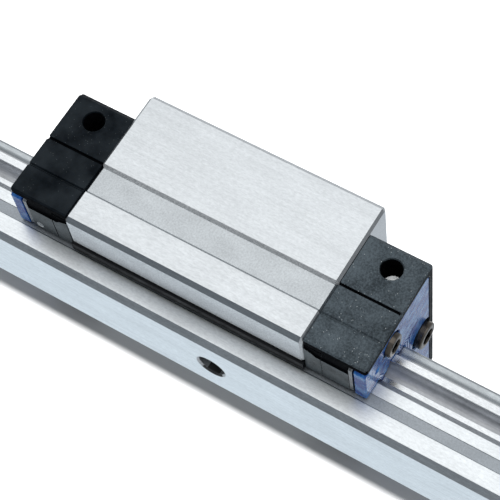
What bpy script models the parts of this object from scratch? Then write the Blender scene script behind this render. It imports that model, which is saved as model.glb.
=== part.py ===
"""Recirculating-ball linear guide carriage, size 15, on a short length of its rail.

The rail lies along X with its underside on z = 0 and its middle at the origin.
The carriage straddles it, stands CARRIAGE_X off the middle and slides along X.
Right means +X, left -X, near -Y and far +Y. The solids are worked out in
millimetres, and every mesh is scaled to metres as it is made.
"""

import math

import bmesh
import bpy
from mathutils import Matrix, Vector

MM = 0.001

# Rail.
RAIL_LENGTH = 160.0
RAIL_HALF_WIDTH = 7.5
RAIL_HEIGHT = 15.0
RAIL_FOOT_CHAMFER = 0.9
RAIL_TOP_HALF_WIDTH = 4.9
RELIEF_LOW = 3.6
RELIEF_HIGH = 5.4
RELIEF_DEPTH = 0.15
SHOULDER_Z = 7.2
WAIST_Z = 8.3
HOLE_PITCH = 60.0
HOLE_RADIUS = 2.25
COUNTERBORE_RADIUS = 3.75
COUNTERBORE_DEPTH = 5.3
HOLE_CHAMFER = 0.3

# Balls. Rows are (y, z) on the near side; the far side mirrors them.
BALL_RADIUS = 3.175 / 2
TRACK_RADIUS = 1.8
LOAD_ROW = {"upper": (-7.1, 14.1), "lower": (-7.75, 9.35)}
RETURN_ROW = {"upper": (-11.9, 15.6), "lower": (-12.2, 7.6)}
BALLS_PER_CIRCUIT = 30
NECK_RADIUS = 0.4

# Block.
CARRIAGE_X = -5.7
BLOCK_LENGTH = 40.16
BLOCK_HALF_WIDTH = 17.0
BLOCK_TOP = 28.0
BLOCK_BOTTOM = 4.05
BLOCK_END_CHAMFER = 0.42
BLOCK_TOP_CHAMFER = 0.6
BLOCK_BOTTOM_CHAMFER = 0.7
FLANK_BOTTOM = 14.44
BAND_HALF_WIDTH = 16.3
BAND_TOP = 14.09
BAND_BOTTOM = 9.7
SKIRT_HALF_WIDTH = 16.6
SKIRT_TOP = 9.4
SEAL_POCKET_Y = -9.9
RIB_Y = -8.1
TAPPED_SPACING = 26.0
TAPPED_RADIUS = 1.75
TAPPED_DEPTH = 6.0

# End caps and what is stacked in and on them, in the order they lie along X.
CAP_GAP = 0.05
CAP_END = 30.15
CAP_HALF_WIDTH = 16.5
CAP_TOP = 23.5
CAP_BOTTOM = 4.2
CAP_EDGE_BOTTOM = 4.5
CAP_SOLE_HALF_WIDTH = 13.4
RIM = 1.1
GUIDE_END = 22.9
GUIDE_HALF_WIDTH = 14.9
GUIDE_TOP = 17.6
OPENING_HALF_WIDTH = 8.1
OPENING_SHOULDER = 12.5
OPENING_BEVEL = 3.1
RECESS_FLOOR = 27.3
PLATE_START = 27.35
PLATE_END = 27.95
SEAL_START = 28.25
SEAL_END = 30.1
FIT_GAP = 0.3

# Fasteners and ports.
SCREW_Y = 12.5
SCREW_Z = 11.45
SCREW_RADIUS = 1.15
SCREW_HEAD_RADIUS = 1.9
SCREW_END = 30.8
SCREW_TIP = 14.5
PORT_Z = 19.8
PORT_HOLE_RADIUS = 2.0
PORT_HEAD_RADIUS = 2.25
PORT_SHANK_RADIUS = 1.7
PORT_END = 31.2
SIDE_PORT_X = 25.4
SIDE_PORT_Z = 19.95
SIDE_PORT_RADIUS = 1.65
SIDE_PORT_DEPTH = 5.6

SIDES = {"near": 1, "far": -1}
ENDS = {"right": 0.0, "left": math.pi}


def clear_scene():
    for item in list(bpy.data.objects):
        bpy.data.objects.remove(item, do_unlink=True)


def material(name, colour, roughness, metallic=0.0):
    made = bpy.data.materials.new(name)
    made.use_nodes = True
    shader = made.node_tree.nodes["Principled BSDF"]
    shader.inputs["Base Color"].default_value = (*colour, 1.0)
    shader.inputs["Roughness"].default_value = roughness
    shader.inputs["Metallic"].default_value = metallic
    made.diffuse_color = (*colour, 1.0)
    return made


# Outlines: lists of (y, z) points, worked out for the near side and mirrored.

def arc(centre, radius, start, end, steps):
    points = []
    for i in range(steps + 1):
        angle = math.radians(start + (end - start) * i / steps)
        points.append((centre[0] + radius * math.cos(angle), centre[1] + radius * math.sin(angle)))
    return points


def mirrored(points):
    """The same points on the other side of the rail, in the opposite order."""
    return [(-y, z) for y, z in reversed(points)]


def offset(points, distance):
    """An open path moved to its left by a distance, with mitred corners."""
    normals = []
    for (y0, z0), (y1, z1) in zip(points, points[1:]):
        length = math.hypot(y1 - y0, z1 - z0)
        normals.append(((z0 - z1) / length, (y1 - y0) / length))
    moved = []
    for i, (y, z) in enumerate(points):
        before = normals[max(i - 1, 0)]
        after = normals[min(i, len(normals) - 1)]
        scale = distance / (1.0 + before[0] * after[0] + before[1] * after[1])
        moved.append((y + (before[0] + after[0]) * scale, z + (before[1] + after[1]) * scale))
    return moved


def rail_head():
    """Near flank of the rail from its shoulder, by both ball tracks, to its top edge."""
    lower = arc(LOAD_ROW["lower"], TRACK_RADIUS, -14, 82, 6)
    upper = arc(LOAD_ROW["upper"], TRACK_RADIUS, -103, 0, 6)
    crown = [(upper[-1][0], RAIL_HEIGHT - 0.4), (-RAIL_TOP_HALF_WIDTH, RAIL_HEIGHT)]
    return [(-RAIL_HALF_WIDTH, SHOULDER_Z), (lower[0][0], WAIST_Z)] + lower + upper + crown


def rail_outline():
    relief_y = -RAIL_HALF_WIDTH + RELIEF_DEPTH
    foot = [
        (-RAIL_HALF_WIDTH + RAIL_FOOT_CHAMFER, 0.0),
        (-RAIL_HALF_WIDTH, RAIL_FOOT_CHAMFER),
        (-RAIL_HALF_WIDTH, RELIEF_LOW),
        (relief_y, RELIEF_LOW + RELIEF_DEPTH),
        (relief_y, RELIEF_HIGH - RELIEF_DEPTH),
        (-RAIL_HALF_WIDTH, RELIEF_HIGH),
    ]
    near = foot + rail_head()
    return near + mirrored(near)


def block_bore():
    """Near half of the block's opening: seal pocket, lower track, rib, upper track."""
    lower = arc(LOAD_ROW["lower"], TRACK_RADIUS, 241, 140, 6)
    upper = arc(LOAD_ROW["upper"], TRACK_RADIUS, 215, 95, 6)
    pocket = [(SEAL_POCKET_Y, BLOCK_BOTTOM), (SEAL_POCKET_Y, 7.5)]
    rib = [(RIB_Y, 11.2), (RIB_Y, 12.5)]
    ceiling = [(-5.8, upper[-1][1]), (-5.8, 16.6)]
    return pocket + lower + rib + upper + ceiling


def block_shell():
    """Outside of the block from its near bottom edge over the top to the far one."""
    near = [
        (SEAL_POCKET_Y, BLOCK_BOTTOM),
        (-SKIRT_HALF_WIDTH + BLOCK_BOTTOM_CHAMFER, BLOCK_BOTTOM),
        (-SKIRT_HALF_WIDTH, BLOCK_BOTTOM + BLOCK_BOTTOM_CHAMFER),
        (-SKIRT_HALF_WIDTH, SKIRT_TOP),
        (-BAND_HALF_WIDTH, BAND_BOTTOM),
        (-BAND_HALF_WIDTH, BAND_TOP),
        (-BLOCK_HALF_WIDTH, FLANK_BOTTOM),
        (-BLOCK_HALF_WIDTH, BLOCK_TOP - BLOCK_TOP_CHAMFER),
        (-BLOCK_HALF_WIDTH + BLOCK_TOP_CHAMFER, BLOCK_TOP),
    ]
    return near + mirrored(near)


def straddling(shell, opening):
    """Closes an outside, near bottom over the top to far bottom, with a near half opening."""
    return shell + [(-y, z) for y, z in opening] + opening[::-1]


def block_outline(inset):
    """Closed outline of the block with its outer edges moved inward by inset."""
    return straddling(offset(block_shell(), -inset), block_bore()[1:])


def rail_opening():
    """Near half of the straight-sided opening that the caps and guides leave for the rail."""
    top = (-OPENING_HALF_WIDTH + OPENING_BEVEL, OPENING_SHOULDER + OPENING_BEVEL)
    return [(-OPENING_HALF_WIDTH, OPENING_SHOULDER), top]


def cap_outline():
    groove_high = 14.5
    groove_low = 9.4
    near = [
        (-OPENING_HALF_WIDTH, CAP_BOTTOM),
        (-CAP_SOLE_HALF_WIDTH, CAP_BOTTOM),
        (-CAP_SOLE_HALF_WIDTH, CAP_EDGE_BOTTOM),
        (-CAP_HALF_WIDTH + 0.3, CAP_EDGE_BOTTOM),
        (-CAP_HALF_WIDTH, CAP_EDGE_BOTTOM + 0.3),
        (-CAP_HALF_WIDTH, groove_low - 0.15),
        (-CAP_HALF_WIDTH + 0.2, groove_low),
        (-CAP_HALF_WIDTH, groove_low + 0.15),
        (-CAP_HALF_WIDTH, groove_high - 0.18),
        (-CAP_HALF_WIDTH + 0.4, groove_high - 0.12),
        (-CAP_HALF_WIDTH + 0.4, groove_high + 0.12),
        (-CAP_HALF_WIDTH, groove_high + 0.18),
        (-CAP_HALF_WIDTH, CAP_TOP - 0.7),
        (-CAP_HALF_WIDTH + 0.6, CAP_TOP),
    ]
    return straddling(near + mirrored(near), rail_opening())


def guide_outline():
    opening = rail_opening()
    return opening + [
        (opening[-1][0], GUIDE_TOP),
        (-GUIDE_HALF_WIDTH, GUIDE_TOP),
        (-GUIDE_HALF_WIDTH, CAP_BOTTOM),
        (-OPENING_HALF_WIDTH, CAP_BOTTOM),
    ]


def end_plate_outline(side_gap, rail_gap, bottom):
    """Plate inside a cap's rim, cut out to the rail's own section with a gap to it."""
    half = CAP_HALF_WIDTH - RIM - side_gap
    top = CAP_TOP - RIM - side_gap
    near = [(-half + 0.3, bottom), (-half, bottom + 0.3), (-half, top - 0.8), (-half + 0.8, top)]
    head = offset(rail_head(), rail_gap)
    opening = [(-RAIL_HALF_WIDTH - rail_gap, bottom)] + head
    return straddling(near + mirrored(near), opening)


# Meshes.

def add_loft(mesh, sections):
    """A closed body through outlines of equal point count, given as (x, outline)."""
    rings = []
    for x, outline in sections:
        rings.append([mesh.verts.new((x, y, z)) for y, z in outline])
    for first, second in zip(rings, rings[1:]):
        for i in range(len(first)):
            j = (i + 1) % len(first)
            mesh.faces.new((first[i], first[j], second[j], second[i]))
    mesh.faces.new(rings[0])
    mesh.faces.new(rings[-1])


def add_turned(mesh, profile, segments, place):
    """A closed body turned about a local Z axis from (z, radius) points."""
    rings = []
    for z, radius in profile:
        ring = []
        for i in range(segments):
            angle = 2 * math.pi * i / segments
            point = Vector((radius * math.cos(angle), radius * math.sin(angle), z))
            ring.append(mesh.verts.new(place @ point))
        rings.append(ring)
    for first, second in zip(rings, rings[1:]):
        for i in range(segments):
            j = (i + 1) % segments
            mesh.faces.new((first[i], first[j], second[j], second[i]))
    mesh.faces.new(rings[0])
    mesh.faces.new(rings[-1])


def add_sweep(mesh, path, radii, normal, sides, closed):
    """Rings of the given radii along a flat path whose plane has the given normal."""
    rings = []
    last = len(path) - 1
    for i, point in enumerate(path):
        before = path[i - 1] if closed or i > 0 else point
        after = path[(i + 1) % len(path)] if closed or i < last else point
        across = normal.cross((after - before).normalized())
        ring = []
        for k in range(sides):
            angle = 2 * math.pi * k / sides
            way = normal * math.cos(angle) + across * math.sin(angle)
            ring.append(mesh.verts.new(point + way * radii[i]))
        rings.append(ring)
    followers = rings[1:] + rings[:1] if closed else rings[1:]
    for first, second in zip(rings, followers):
        for i in range(sides):
            j = (i + 1) % sides
            mesh.faces.new((first[i], first[j], second[j], second[i]))
    if not closed:
        mesh.faces.new(rings[0])
        mesh.faces.new(rings[-1])


def finished_mesh(name, mesh, smooth=False):
    """Turn a bmesh in millimetres into mesh data in metres with its faces pointing out."""
    bmesh.ops.scale(mesh, vec=(MM, MM, MM), verts=mesh.verts)
    bmesh.ops.recalc_face_normals(mesh, faces=mesh.faces)
    data = bpy.data.meshes.new(name)
    mesh.to_mesh(data)
    mesh.free()
    if smooth:
        data.shade_smooth()
        data.set_sharp_from_angle(angle=math.radians(35))
    return data


def place_object(name, data, parent, finish=None, turn=0.0):
    item = bpy.data.objects.new(name, data)
    item.rotation_euler = (0.0, 0.0, turn)
    item.parent = parent
    if finish and not data.materials:
        data.materials.append(finish)
    bpy.context.scene.collection.objects.link(item)
    return item


def cut(item, cutter):
    cutter.hide_render = True
    cutter.display_type = "WIRE"
    modifier = item.modifiers.new("cut", "BOOLEAN")
    modifier.operation = "DIFFERENCE"
    modifier.solver = "EXACT"
    modifier.object = cutter


def along_x(x, y, z):
    """Places a turned shape's axis along X."""
    return Matrix.Translation((x, y, z)) @ Matrix.Rotation(math.pi / 2, 4, "Y")


def along_y(x, y, z):
    """Places a turned shape's axis along Y."""
    return Matrix.Translation((x, y, z)) @ Matrix.Rotation(-math.pi / 2, 4, "X")


def upright(x, y):
    return Matrix.Translation((x, y, 0.0))


# Ball paths.

def row_points(row, side):
    load = Vector((0.0, LOAD_ROW[row][0] * side, LOAD_ROW[row][1]))
    back = Vector((0.0, RETURN_ROW[row][0] * side, RETURN_ROW[row][1]))
    return load, back


def turn_path(row, side, steps, lead):
    """Half turn at the block's right end, with a straight lead at both ends."""
    load, back = row_points(row, side)
    middle = (load + back) / 2
    half = (load - back) / 2
    start = Vector((BLOCK_LENGTH / 2, 0.0, 0.0))
    path = [load + start - Vector((lead, 0.0, 0.0))]
    for i in range(steps + 1):
        angle = math.pi * i / steps
        outward = Vector((half.length * math.sin(angle), 0.0, 0.0))
        path.append(start + middle + half * math.cos(angle) + outward)
    path.append(back + start - Vector((lead, 0.0, 0.0)))
    return path


def path_normal(row, side):
    load, back = row_points(row, side)
    return Vector((1.0, 0.0, 0.0)).cross((back - load).normalized())


def circuit_point(row, side, distance):
    """Point at a distance along the closed ball path, from the load row's left end."""
    load, back = row_points(row, side)
    middle = (load + back) / 2
    half = (load - back) / 2
    bend = math.pi * half.length
    if distance < BLOCK_LENGTH:
        return load + Vector((distance - BLOCK_LENGTH / 2, 0.0, 0.0))
    distance -= BLOCK_LENGTH
    if distance < bend:
        angle = distance / half.length
        x = BLOCK_LENGTH / 2 + half.length * math.sin(angle)
        return middle + half * math.cos(angle) + Vector((x, 0.0, 0.0))
    distance -= bend
    if distance < BLOCK_LENGTH:
        return back + Vector((BLOCK_LENGTH / 2 - distance, 0.0, 0.0))
    angle = (distance - BLOCK_LENGTH) / half.length
    x = -BLOCK_LENGTH / 2 - half.length * math.sin(angle)
    return middle - half * math.cos(angle) + Vector((x, 0.0, 0.0))


# Sub-parts.

def build_rail(finish):
    mesh = bmesh.new()
    add_loft(mesh, [(-RAIL_LENGTH / 2, rail_outline()), (RAIL_LENGTH / 2, rail_outline())])
    rail = place_object("rail", finished_mesh("rail", mesh, smooth=True), None, finish)
    floor = RAIL_HEIGHT - COUNTERBORE_DEPTH
    profile = [
        (-0.5, HOLE_RADIUS + HOLE_CHAMFER + 0.5),
        (HOLE_CHAMFER, HOLE_RADIUS),
        (floor, HOLE_RADIUS),
        (floor, COUNTERBORE_RADIUS),
        (RAIL_HEIGHT - 0.2, COUNTERBORE_RADIUS),
        (RAIL_HEIGHT + 0.5, COUNTERBORE_RADIUS + 0.7),
    ]
    holes = bmesh.new()
    for k in (-1, 0, 1):
        add_turned(holes, profile, 24, upright(k * HOLE_PITCH, 0.0))
    cut(rail, place_object("rail_holes_cutter", finished_mesh("rail_holes_cutter", holes), None))


def block_cutter(carriage):
    """Tapped holes in the top and ends, and the four ball return bores."""
    mesh = bmesh.new()
    half = TAPPED_SPACING / 2
    tapped = [
        (BLOCK_TOP - TAPPED_DEPTH - 0.8, 0.3),
        (BLOCK_TOP - TAPPED_DEPTH, TAPPED_RADIUS),
        (BLOCK_TOP - 0.3, TAPPED_RADIUS),
        (BLOCK_TOP + 0.5, TAPPED_RADIUS + 0.8),
    ]
    for x in (-half, half):
        for y in (-half, half):
            add_turned(mesh, tapped, 16, upright(x, y))
    reach = BLOCK_LENGTH / 2 + 1
    for side in SIDES.values():
        for y, z in RETURN_ROW.values():
            bore = [(-reach, TRACK_RADIUS), (reach, TRACK_RADIUS)]
            add_turned(mesh, bore, 14, along_x(0.0, y * side, z))
        radius = SCREW_RADIUS + FIT_GAP
        depth = SCREW_TIP - 0.8
        place = along_x(0.0, SCREW_Y * side, SCREW_Z)
        for start, end in ((depth, reach), (-reach, -depth)):
            add_turned(mesh, [(start, radius), (end, radius)], 12, place)
    return place_object("block_cutter", finished_mesh("block_cutter", mesh), carriage)


def build_block(carriage, finish):
    half = BLOCK_LENGTH / 2
    plain = block_outline(0.0)
    edged = block_outline(BLOCK_END_CHAMFER)
    mesh = bmesh.new()
    inner = half - BLOCK_END_CHAMFER
    add_loft(mesh, [(-half, edged), (-inner, plain), (inner, plain), (half, edged)])
    data = finished_mesh("carriage_block", mesh, smooth=True)
    block = place_object("carriage_block", data, carriage, finish)
    cut(block, block_cutter(carriage))


def add_turns(mesh):
    for side in SIDES.values():
        for row in LOAD_ROW:
            path = turn_path(row, side, 6, 2.0)
            radii = [TRACK_RADIUS] * len(path)
            add_sweep(mesh, path, radii, path_normal(row, side), 10, closed=False)


def add_screw_holes(mesh, start, end, radius):
    for side in SIDES.values():
        place = along_x(0.0, SCREW_Y * side, SCREW_Z)
        add_turned(mesh, [(start, radius), (end, radius)], 14, place)


def cap_cutters():
    """Tracks, guide pockets, seal recess and ports, each kind in a cutter of its own."""
    start = BLOCK_LENGTH / 2 - 1
    tracks = bmesh.new()
    add_turns(tracks)
    pockets = bmesh.new()
    outer = -GUIDE_HALF_WIDTH - FIT_GAP
    top = GUIDE_TOP + FIT_GAP
    inner = -OPENING_HALF_WIDTH + 1
    below = CAP_BOTTOM - 2
    pocket = [(outer, below), (outer, top), (-4.6, top), (-4.6, 14.5), (inner, 12.0), (inner, below)]
    for outline in (pocket, mirrored(pocket)):
        add_loft(pockets, [(start, outline), (GUIDE_END + 0.1, outline)])
    recess = bmesh.new()
    half = CAP_HALF_WIDTH - RIM
    edge = [(-half, below), (-half, CAP_TOP - RIM - 0.7), (-half + 0.7, CAP_TOP - RIM)]
    outline = edge + mirrored(edge)
    add_loft(recess, [(RECESS_FLOOR, outline), (CAP_END + 1, outline)])
    ports = bmesh.new()
    add_screw_holes(ports, start, CAP_END, SCREW_RADIUS + FIT_GAP)
    port = [(24.0, PORT_HOLE_RADIUS), (CAP_END, PORT_HOLE_RADIUS)]
    add_turned(ports, port, 20, along_x(0.0, 0.0, PORT_Z))
    side_port = [
        (CAP_HALF_WIDTH - SIDE_PORT_DEPTH, SIDE_PORT_RADIUS),
        (CAP_HALF_WIDTH + 1, SIDE_PORT_RADIUS),
    ]
    for side in SIDES.values():
        turned = [(z * side, radius) for z, radius in side_port]
        add_turned(ports, turned, 18, along_y(SIDE_PORT_X, 0.0, SIDE_PORT_Z))
    made = []
    for kind, mesh in (("tracks", tracks), ("pockets", pockets), ("recess", recess), ("ports", ports)):
        name = f"cap_{kind}_cutter"
        made.append((name, finished_mesh(name, mesh)))
    return made


def build_caps(carriage, finish):
    mesh = bmesh.new()
    start = BLOCK_LENGTH / 2 + CAP_GAP
    edged = 0.35
    body = cap_outline()
    add_loft(mesh, [(start, body), (CAP_END - edged, body), (CAP_END, cap_nose(edged))])
    data = finished_mesh("end_cap", mesh, smooth=True)
    cutters = cap_cutters()
    for end, turn in ENDS.items():
        cap = place_object(f"end_cap_{end}", data, carriage, finish, turn)
        for name, cutter in cutters:
            cut(cap, place_object(f"{name}_{end}", cutter, carriage, turn=turn))


def cap_nose(inset):
    """The cap's outline with its side and top edges drawn in by inset, for the end chamfer."""
    points = []
    for y, z in cap_outline():
        inside = abs(y) < CAP_SOLE_HALF_WIDTH and z < CAP_TOP
        drawn_in = (y * (1 - inset / CAP_HALF_WIDTH), min(z, CAP_TOP - inset))
        points.append((y, z) if inside else drawn_in)
    return points


def build_guides(carriage, finish):
    start = BLOCK_LENGTH / 2 + CAP_GAP
    for label, side in SIDES.items():
        outline = guide_outline() if side == 1 else mirrored(guide_outline())
        mesh = bmesh.new()
        add_loft(mesh, [(start, outline), (GUIDE_END, outline)])
        data = finished_mesh(f"return_guide_{label}", mesh)
        holes = bmesh.new()
        add_turns(holes)
        screws = bmesh.new()
        add_screw_holes(screws, start - 1, GUIDE_END + 1, SCREW_RADIUS + FIT_GAP)
        tracks_data = finished_mesh("guide_tracks_cutter", holes)
        screws_data = finished_mesh("guide_screws_cutter", screws)
        for end, turn in ENDS.items():
            name = f"return_guide_{end}_{label if end == 'right' else other_side(label)}"
            guide = place_object(name, data, carriage, finish, turn)
            cut(guide, place_object(f"{name}_tracks_cutter", tracks_data, carriage, turn=turn))
            cut(guide, place_object(f"{name}_screws_cutter", screws_data, carriage, turn=turn))


def other_side(label):
    return "far" if label == "near" else "near"


def build_end_plate(carriage, name, outline, start, end, port_radius, screw_radius, finish):
    """A flat plate across the rail with holes for the port screw and the cap screws."""
    mesh = bmesh.new()
    add_loft(mesh, [(start, outline), (end, outline)])
    data = finished_mesh(name, mesh, smooth=True)
    holes = bmesh.new()
    port = [(start - 1, port_radius), (end + 1, port_radius)]
    add_turned(holes, port, 24, along_x(0.0, 0.0, PORT_Z))
    add_screw_holes(holes, start - 1, end + 1, screw_radius)
    holes_data = finished_mesh(f"{name}_holes_cutter", holes)
    for label, turn in ENDS.items():
        plate = place_object(f"{name}_{label}", data, carriage, finish, turn)
        cut(plate, place_object(f"{name}_holes_cutter_{label}", holes_data, carriage, turn=turn))


def socket_profile(tip, shank_radius, head_start, head_radius, end, socket_radius, socket_depth):
    """A screw from its tip to its head, with a round socket in the head, as (x, radius)."""
    chamfer = 0.25
    return [
        (tip, shank_radius - chamfer),
        (tip + chamfer, shank_radius),
        (head_start, shank_radius),
        (head_start, head_radius),
        (end - chamfer, head_radius),
        (end, head_radius - chamfer),
        (end, socket_radius),
        (end - socket_depth, socket_radius),
    ]


def build_cap_screws(carriage, finish):
    mesh = bmesh.new()
    head_start = PLATE_END + 0.05
    profile = socket_profile(SCREW_TIP, SCREW_RADIUS, head_start, SCREW_HEAD_RADIUS, SCREW_END, 1.0, 1.0)
    add_turned(mesh, profile, 14, along_x(0.0, 0.0, 0.0))
    data = finished_mesh("cap_screw", mesh, smooth=True)
    for label, side in SIDES.items():
        for end, turn in ENDS.items():
            screw = place_object(f"cap_screw_{end}_{label}", data, carriage, finish, turn)
            screw.location = (0.0, -SCREW_Y * side * MM, SCREW_Z * MM)


def build_port_screws(carriage, finish):
    mesh = bmesh.new()
    head_start = RECESS_FLOOR + 0.05
    profile = socket_profile(24.5, PORT_SHANK_RADIUS, head_start, PORT_HEAD_RADIUS, PORT_END, 1.3, 1.6)
    add_turned(mesh, profile, 18, along_x(0.0, 0.0, 0.0))
    data = finished_mesh("port_screw", mesh, smooth=True)
    for end, turn in ENDS.items():
        screw = place_object(f"port_screw_{end}", data, carriage, finish, turn)
        screw.location = (0.0, 0.0, PORT_Z * MM)


def build_strip(carriage, name, section, half_length, finish):
    mesh = bmesh.new()
    add_loft(mesh, [(-half_length, section), (half_length, section)])
    place_object(name, finished_mesh(name, mesh), carriage, finish)


def build_strips(carriage, rubber, steel):
    """Bottom seals and the retainers that keep the balls in when there is no rail."""
    half = BLOCK_LENGTH / 2 - 0.05
    outer = SEAL_POCKET_Y + FIT_GAP
    seal = [(outer, 3.7), (outer, 5.0), (-8.4, 5.0), (-7.8, 4.3), (-7.8, 3.7)]
    foot = [(-8.5, 5.3), (outer, 5.3), (outer, 7.2), (-8.6, 7.2)]
    retainer = foot + [(-7.95, 7.45), (-7.95, 6.9), (-8.5, 6.6)]
    for label, side in SIDES.items():
        seal_section = seal if side == 1 else mirrored(seal)
        retainer_section = retainer if side == 1 else mirrored(retainer)
        build_strip(carriage, f"bottom_seal_{label}", seal_section, half, rubber)
        build_strip(carriage, f"lower_retainer_{label}", retainer_section, half, steel)
    upper = [(-5.5, 15.35), (-5.5, 16.3), (5.5, 16.3), (5.5, 15.35)]
    build_strip(carriage, "upper_retainer", upper, half, steel)


def build_ball_circuits(carriage, finish):
    """Each closed row of balls as one body, its balls joined by short necks."""
    for label, side in SIDES.items():
        for row in LOAD_ROW:
            load, back = row_points(row, side)
            pitch = (2 * BLOCK_LENGTH + math.pi * (load - back).length) / BALLS_PER_CIRCUIT
            path = []
            radii = []
            for ball in range(BALLS_PER_CIRCUIT):
                for part in (0.0, 0.3, 0.7):
                    path.append(circuit_point(row, side, (ball + part) * pitch))
                    reach = (0.5 - part) * pitch
                    across = math.sqrt(max(BALL_RADIUS ** 2 - reach ** 2, 0.0))
                    radii.append(max(NECK_RADIUS, across))
            mesh = bmesh.new()
            add_sweep(mesh, path, radii, path_normal(row, side), 6, closed=True)
            name = f"ball_circuit_{row}_{label}"
            place_object(name, finished_mesh(name, mesh, smooth=True), carriage, finish)


def build():
    clear_scene()
    ground_steel = material("ground_steel", (0.62, 0.63, 0.64), 0.3, 1.0)
    rail_steel = material("rail_steel", (0.66, 0.68, 0.70), 0.22, 1.0)
    ball_steel = material("ball_steel", (0.75, 0.76, 0.78), 0.08, 1.0)
    plate_steel = material("plate_steel", (0.55, 0.55, 0.55), 0.35, 1.0)
    screw_steel = material("screw_steel", (0.28, 0.25, 0.21), 0.35, 1.0)
    black_plastic = material("black_plastic", (0.03, 0.032, 0.035), 0.45)
    guide_plastic = material("guide_plastic", (0.05, 0.055, 0.055), 0.35)
    blue_rubber = material("blue_rubber", (0.03, 0.09, 0.42), 0.25)
    black_rubber = material("black_rubber", (0.012, 0.012, 0.013), 0.5)

    build_rail(rail_steel)
    carriage = bpy.data.objects.new("carriage_frame", None)
    carriage.location = (CARRIAGE_X * MM, 0.0, 0.0)
    bpy.context.scene.collection.objects.link(carriage)
    build_block(carriage, ground_steel)
    build_caps(carriage, black_plastic)
    build_guides(carriage, guide_plastic)
    plate = end_plate_outline(0.3, 0.9, CAP_BOTTOM + 0.05)
    build_end_plate(carriage, "seal_plate", plate, PLATE_START, PLATE_END,
                    PORT_HEAD_RADIUS + 0.4, SCREW_RADIUS + FIT_GAP, plate_steel)
    seal = end_plate_outline(0.2, 0.3, CAP_BOTTOM)
    build_end_plate(carriage, "end_seal", seal, SEAL_START, SEAL_END,
                    PORT_HEAD_RADIUS + 0.4, SCREW_HEAD_RADIUS + FIT_GAP, blue_rubber)
    build_cap_screws(carriage, screw_steel)
    build_port_screws(carriage, screw_steel)
    build_strips(carriage, black_rubber, plate_steel)
    build_ball_circuits(carriage, ball_steel)


build()
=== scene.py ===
"""Looks of a size 15 linear guide carriage on its rail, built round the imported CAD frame.

Meshes are worked out in millimetres, in the carriage's own frame: X runs along the
rail from the block's middle, and Z starts at the rail's underside. The right end is
modelled, and the left end is the same piece turned half round. Near is -Y.
"""

import math
from functools import partial

import bmesh
import bpy
from mathutils import Matrix, Vector


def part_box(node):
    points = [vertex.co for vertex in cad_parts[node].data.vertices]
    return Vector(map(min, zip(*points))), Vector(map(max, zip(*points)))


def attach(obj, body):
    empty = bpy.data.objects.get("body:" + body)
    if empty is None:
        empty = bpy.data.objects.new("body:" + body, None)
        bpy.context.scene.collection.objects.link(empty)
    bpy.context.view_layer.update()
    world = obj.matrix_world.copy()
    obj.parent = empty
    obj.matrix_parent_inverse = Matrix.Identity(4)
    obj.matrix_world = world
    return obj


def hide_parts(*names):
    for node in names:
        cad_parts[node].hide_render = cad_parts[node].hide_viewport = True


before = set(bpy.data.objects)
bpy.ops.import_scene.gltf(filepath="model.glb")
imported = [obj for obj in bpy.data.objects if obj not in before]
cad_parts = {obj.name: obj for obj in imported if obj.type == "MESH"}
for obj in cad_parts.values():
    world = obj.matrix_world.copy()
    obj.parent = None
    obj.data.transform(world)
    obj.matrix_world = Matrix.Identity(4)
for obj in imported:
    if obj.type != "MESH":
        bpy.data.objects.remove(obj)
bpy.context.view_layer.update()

MM = 0.001


def box_mm(node):
    low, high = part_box(node)
    return low / MM, high / MM


rail_high = box_mm("rail")[1]
block_low, block_high = box_mm("carriage_block")
CARRIAGE_X = (block_low.x + block_high.x) / 2


def end_box(node):
    """A right-end node's box, measured along X from the middle of the block."""
    low, high = box_mm(node)
    shift = Vector((CARRIAGE_X, 0.0, 0.0))
    return low - shift, high - shift


cap_low, cap_high = end_box("end_cap_right")
guide_low, guide_high = end_box("return_guide_right_near")
plate_low, plate_high = end_box("seal_plate_right")
seal_low, seal_high = end_box("end_seal_right")
bolt_low, bolt_high = end_box("cap_screw_right_near")
plug_low, plug_high = end_box("port_screw_right")
skirt_low, skirt_high = end_box("bottom_seal_near")

# Rail.
RAIL_HALF = rail_high.y
RAIL_TOP = rail_high.z
FOOT_CHAMFER = 0.9
RELIEF_LOW = 3.6
RELIEF_HIGH = 5.4
RELIEF_DEPTH = 0.09
SHOULDER_Z = 7.2
WAIST_Z = 8.3
CROWN_Y = 4.9
HOLE_PITCH = 60.0
HOLE_RADIUS = 2.25
COUNTERBORE_RADIUS = 3.75
COUNTERBORE_DEPTH = 5.3

# Looks of the rail's head above its waist: the height at which each ends.
RAIL_HEAD_LOOKS = [
    (9.2, "rail_crest"),
    (9.75, "rail_track_edge"),
    (11.1, "rail_track_low"),
    (12.4, "rail_crest"),
    (13.25, "rail_track_high"),
]

# Balls: rows are (y, z) on the near side.
BALL_RADIUS = 3.175 / 2
TRACK_RADIUS = 1.8
LOAD_ROW = {"upper": (-7.1, 14.1), "lower": (-7.75, 9.35)}
RETURN_ROW = {"upper": (-11.9, 15.6), "lower": (-12.2, 7.6)}
BALLS_PER_CIRCUIT = 30

# Block.
BLOCK_HALF_LENGTH = (block_high.x - block_low.x) / 2
BLOCK_HALF = block_high.y
BLOCK_TOP = block_high.z
BLOCK_BOTTOM = block_low.z
BAND_HALF = BLOCK_HALF - 0.7
SKIRT_HALF = BLOCK_HALF - 0.4
BAND_LOW = 9.7
BAND_HIGH = 14.09
BOTTOM_CHAMFER = 0.7
TOP_CHAMFER = 0.6
END_CHAMFER = 0.42
BORE_SIDE = 10.5
BORE_TOP = 17.0
TAPPED_PLACES = [(-13.0, -13.0), (-13.0, 13.0), (13.0, -13.0), (13.0, 13.0)]
TAPPED_DEPTH = 6.0
THREAD_RADIUS = 2.0
THREAD_PITCH = 0.7
THREAD_HEIGHT = 0.38
THREAD_TOP = BLOCK_TOP - 0.35

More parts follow.
